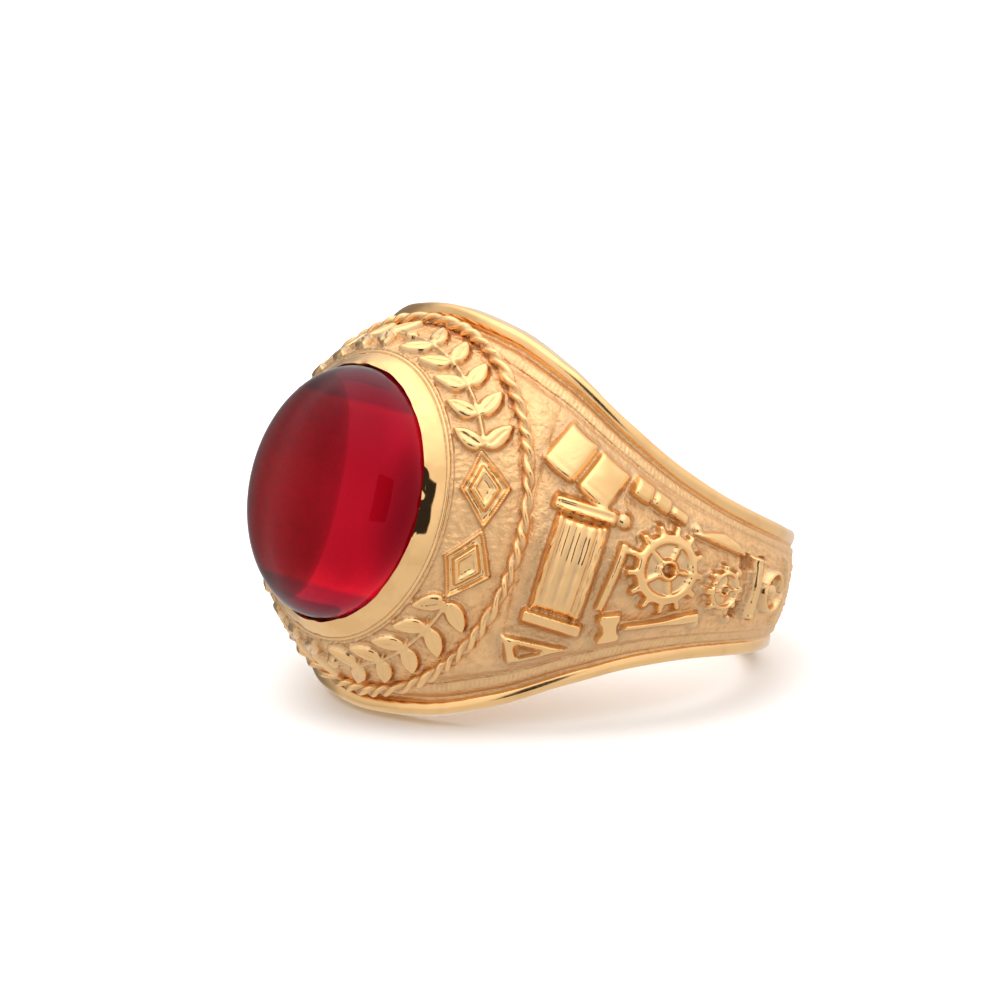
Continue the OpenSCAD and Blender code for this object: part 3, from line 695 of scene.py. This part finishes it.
def cabochon(ruby):
    """The stone: a flat base, a girdle and a smooth oval dome. Its two ends carry painted shade, in
    place of the dark reflections inside the stone.
    """
    m = 256
    t = np.arange(m) * 2 * math.pi / m
    rows = [(0, LIP_U - BASE_D), (LIP_FOLD, LIP_U - BASE_D + LIP_FOLD),
            (LIP_FOLD, LIP_U - GIRDLE_D), (0, LIP_U)]
    ovals = [oval(LIP_A + d, LIP_B + d, u, t) for d, u in rows]
    for k in np.linspace(0, math.pi / 2, 72)[1:-1]:
        ovals.append(oval(LIP_A * math.cos(k), LIP_B * math.cos(k),
                          LIP_U + DOME_H * math.sin(k), t))
    tiny = math.pi / 2 - 0.002
    ovals.append(oval(LIP_A * math.cos(tiny), LIP_B * math.cos(tiny), LIP_U + DOME_H, t))
    pts = np.stack(ovals, 1)
    n = pts.shape[1]
    # Painted shade at the two long ends, in place of the dark reflections inside the stone.
    ends = smooth((np.abs(pts[..., 2]) / LIP_A - 0.70) / 0.05)
    return piece("cabochon", pts, rows_of_quads(m, n, True, False),
                 [(np.arange(m) * n)[::-1], np.arange(m) * n + n - 1],
                 None, ends.ravel(), ruby, "stone", sharp=35)


# Materials
class Nodes:
    """A short way to write the node tree of a material, or of a world."""

    def __init__(self, name, where=None):
        self.owner = (bpy.data.materials if where is None else where).new(name)
        self.owner.use_nodes = True
        self.tree = self.owner.node_tree
        self.tree.nodes.clear()

    def add(self, kind, settings=None, **inputs):
        """A node. Inputs are named, or numbered as in i0, and are sockets or constants."""
        node = self.tree.nodes.new("ShaderNode" + kind)
        for key, value in (settings or {}).items():
            setattr(node, key, value)
        for key, value in inputs.items():
            numbered = key[0] == "i" and key[1:].isdigit()
            socket = node.inputs[int(key[1:]) if numbered else key.replace("_", " ")]
            if isinstance(value, bpy.types.NodeSocket):
                self.tree.links.new(value, socket)
            else:
                socket.default_value = value
        return node

    def math(self, operation, a, b=0.0, clamp=False):
        node = self.add("Math", {"operation": operation, "use_clamp": clamp}, i0=a, i1=b)
        return node.outputs[0]

    def times(self, a, b, clamp=False):
        return self.math("MULTIPLY", a, b, clamp)

    def mix(self, share, a, b):
        """A colour between a and b."""
        return self.add("Mix", {"data_type": "RGBA"}, i0=share, i6=a, i7=b).outputs[2]

    def blend(self, share, a, b):
        """A number between a and b."""
        return self.add("Mix", {"data_type": "FLOAT"}, i0=share, i2=a, i3=b).outputs[0]

    def step(self, value, low, high):
        """0 below low, 1 above high, smooth between."""
        node = self.add("MapRange", {"interpolation_type": "SMOOTHSTEP"},
                        i0=value, i1=low, i2=high)
        return node.outputs[0]

    def attribute(self, name):
        return self.add("Attribute", {"attribute_name": name}).outputs["Fac"]

    def place(self):
        """The point of the mesh, in metres."""
        return self.add("TexCoord").outputs["Object"]

    def noise(self, where, scale, detail=3.0, rough=0.5):
        node = self.add("TexNoise", Vector=where, Scale=scale, Detail=detail, Roughness=rough)
        return node.outputs["Fac"]


BRIGHT_GOLD, MATT_GOLD = (1.0, 0.62, 0.28, 1), (0.97, 0.60, 0.295, 1)
# The last of these is the brown of painted shade in recesses and on walls.
BLOTCH, SMEAR, PAINTED_BROWN_SHADE = (0.74, 0.42, 0.19, 1), (0.78, 0.44, 0.18, 1), (0.72, 0.465, 0.25, 1)
RED, PALE_RED = (0.565, 0.003, 0.013, 1), (0.645, 0.004, 0.017, 1)
# the stone's painted shade at its two ends
PAINTED_END_SHADE = (0.08, 0.003, 0.012, 1)
DARK_FLOOR, PALE_FLOOR = (0.93, 0.93, 0.93, 1), (0.95, 0.95, 0.95, 1)


def gold_material():
    """Cast gold: polished where it is rubbed, matt and blotched elsewhere, with painted brown shade
    in recesses.
    """
    n = Nodes("gold")
    where = n.place()
    polish, painted_shade = n.attribute("polish"), n.attribute("painted_shade")
    grain = n.noise(where, 5200.0, 3.0, 0.6)
    wear = n.times(n.math("SUBTRACT", n.noise(where, 600.0, 2.0), 0.5), 0.6)
    dull = n.math("SUBTRACT", 1.0, n.math("ADD", polish, wear, True), True)
    mirror = n.times(n.math("SUBTRACT", polish, 1.0, True), 1.6, True)  # the bezel's alone
    mottle = n.times(n.noise(where, 3200.0, 3.0, 0.7), 0.9)
    stain = n.times(dull, n.math("ADD", 0.35, mottle), True)
    base = n.mix(stain, BRIGHT_GOLD, MATT_GOLD)
    blotch = n.step(n.noise(where, 2300.0, 4.0, 0.62), 0.44, 0.64)
    base = n.mix(n.times(n.times(dull, blotch), 0.55), base, BLOTCH)
    smear = n.step(n.noise(where, 480.0, 3.0, 0.55), 0.42, 0.66)
    base = n.mix(n.times(n.times(polish, smear, True), 0.36), base, SMEAR)
    # painted shade: browner where the mesh marks recesses and walls
    base = n.mix(n.times(painted_shade, 0.85), base, PAINTED_BROWN_SHADE)
    rough = n.times(n.math("SUBTRACT", grain, 0.5), 0.14)
    rough = n.math("ADD", n.blend(dull, 0.16, 0.48), rough)
    rough = n.blend(mirror, rough, 0.05)
    ripple = n.times(n.noise(where, 800.0, 2.0, 0.4), 1.8)
    pushed = n.times(n.times(mirror, n.noise(where, 430.0, 2.0, 0.4)), 9.0)
    pitted = n.math("ADD", grain, n.times(n.noise(where, 2400.0, 2.0), 1.4))
    waves = n.add("Bump", Strength=1.0, Distance=0.000009, Height=n.math("ADD", ripple, pushed))
    pits = n.add("Bump", Strength=dull, Distance=0.00007, Height=pitted, Normal=waves.outputs[0])
    shader = n.add("BsdfPrincipled", Base_Color=base, Metallic=1.0, Roughness=rough,
                   Normal=pits.outputs[0])
    n.add("OutputMaterial", Surface=shader.outputs[0])
    return n.owner


def ruby_material():
    """Deep red glass, with painted shade at its two long ends."""
    n = Nodes("red_stone")
    base = n.mix(n.noise(n.place(), 260.0, 2.0), RED, PALE_RED)
    # painted shade at the two long ends, standing in for the dark reflections there
    base = n.mix(n.times(n.attribute("painted_shade"), 0.88), base, PAINTED_END_SHADE)
    shader = n.add("BsdfPrincipled", Base_Color=base, Metallic=0.0, Roughness=0.02, IOR=1.76,
                   Transmission_Weight=0.96, Specular_Tint=(0.6, 0.06, 0.12, 1))
    n.add("OutputMaterial", Surface=shader.outputs[0])
    return n.owner


def floor_material():
    """A plain pale floor."""
    n = Nodes("floor")
    base = n.mix(n.noise(n.place(), 12.0, 2.0), DARK_FLOOR, PALE_FLOOR)
    shader = n.add("BsdfPrincipled", Base_Color=base, Roughness=0.7)
    n.add("OutputMaterial", Surface=shader.outputs[0])
    return n.owner


# The ring
gold, ruby = gold_material(), ruby_material()
hoop_half("hoop_right", False, gold)
hoop_half("hoop_left", True, gold)
ornament_band(gold)
rope(gold)
bezel(gold)
cabochon(ruby)

# The studio. The metal and the stone mirror the world alone, not the floor or the lights.
bpy.ops.mesh.primitive_plane_add(size=4)
floor = bpy.context.object
floor.name = "floor"
floor.data.materials.append(floor_material())
floor.visible_glossy = floor.visible_transmission = False

# The camera was fitted to the outlines of the ring in the photograph. Its angles are in the
# worn ring's axes: u to the face, v to the ring's right, w along the finger.
FRAME, SENSOR = 1000, 36  # the picture's side in pixels, and the camera's in mm
PHI, EPS, RHO = (math.radians(v) for v in (44.556, 2.004, 13.501))
DISTANCE, SCALE, CENTRE_X, CENTRE_Y = 448.463, 19.275, 563.536, 537.45
u_axis, v_axis, w_axis = Vector((0, -COS, SIN)), Vector((1, 0, 0)), Vector((0, SIN, COS))
back = (u_axis * math.cos(PHI) + v_axis * math.sin(PHI)) * math.cos(EPS) + w_axis * math.sin(EPS)
level = v_axis * math.cos(PHI) - u_axis * math.sin(PHI)
upward = back.cross(level)
right = level * math.cos(RHO) + upward * math.sin(RHO)
above = upward * math.cos(RHO) - level * math.sin(RHO)
centre = Vector((0, DY, DZ)) / 1000
eye = centre + back * DISTANCE / 1000
target = centre + (right * (FRAME / 2 - CENTRE_X) + above * (CENTRE_Y - FRAME / 2)) / SCALE / 1000
axis_z = (eye - target).normalized()
axis_x = above.cross(axis_z).normalized()
axes = Matrix((axis_x, axis_z.cross(axis_x), axis_z)).transposed().to_4x4()
camera = bpy.data.objects.new("camera", bpy.data.cameras.new("camera"))
bpy.context.scene.collection.objects.link(camera)
camera.matrix_world = Matrix.Translation(eye) @ axes
camera.data.sensor_width = SENSOR
camera.data.lens = SCALE * DISTANCE * SENSOR / FRAME
camera.data.clip_start, camera.data.clip_end = 0.01, 20
bpy.context.scene.camera = camera


def softbox(name, where, size, watts):
    """A light for the floor and the ring's shadow on it."""
    light = bpy.data.lights.new(name, "AREA")
    light.shape, light.size, light.energy = "SQUARE", size, watts
    ob = bpy.data.objects.new(name, light)
    bpy.context.scene.collection.objects.link(ob)
    ob.location = where
    ob.rotation_euler = (centre - Vector(where)).to_track_quat("-Z", "Y").to_euler()
    ob.visible_glossy = ob.visible_transmission = False


softbox("key", (-0.12, -0.16, 0.45), 0.40, 1.2)
softbox("fill", (0.35, 0.10, 0.35), 0.40, 0.4)


def studio_world():
    """A soft white tent: bright overhead, dim at the left, a little dimmer in an opening at the
    left front, and dark in a window round the photograph's direction."""
    n = Nodes("studio", bpy.data.worlds)
    way = n.add("TexCoord").outputs["Generated"]

    def toward(axis):
        """1 in a direction, -1 away from it."""
        node = n.add("VectorMath", {"operation": "DOT_PRODUCT"}, i0=way, i1=tuple(axis))
        return node.outputs["Value"]

    def window(x, y, front, half_x, half_y, soft):
        """1 inside a rectangle of directions, 0 outside it."""
        near = n.math("MAXIMUM", front, 0.001)
        sides = [n.step(n.math("ABSOLUTE", n.math("DIVIDE", v, near)), h + soft, h - soft)
                 for v, h in ((x, half_x), (y, half_y))]
        return n.times(n.times(*sides), n.step(front, 0.02, 0.1))

    up = toward((0, 0, 1))
    light = n.math("ADD", 0.76, n.times(n.step(up, -0.35, 0.35), 0.24))
    light = n.math("ADD", light, n.times(n.step(up, 0.5, 0.97), 0.8))
    left = n.step(toward((-0.995, 0.1, 0)), 0.78, 0.97)
    light = n.times(light, n.blend(left, 1.0, 0.3))
    middle = math.radians(-45)
    front = u_axis * math.cos(middle) + v_axis * math.sin(middle)
    across = v_axis * math.cos(middle) - u_axis * math.sin(middle)
    opening = window(toward(across), toward(w_axis), toward(front), 0.4, 0.9, 0.15)
    light = n.times(light, n.blend(opening, 1.0, 0.76))
    lens = window(toward(level), toward(upward), toward(back), 0.24, 0.27, 0.02)
    light = n.times(light, n.blend(lens, 1.0, 0.03))
    background = n.add("Background", Color=(1, 1, 1, 1), Strength=light)
    n.add("OutputWorld", Surface=background.outputs[0])
    return n.owner


bpy.context.scene.world = studio_world()

scene = bpy.context.scene
scene.view_settings.view_transform = "Standard"
scene.view_settings.look = "None"
scene.view_settings.exposure = 0.0
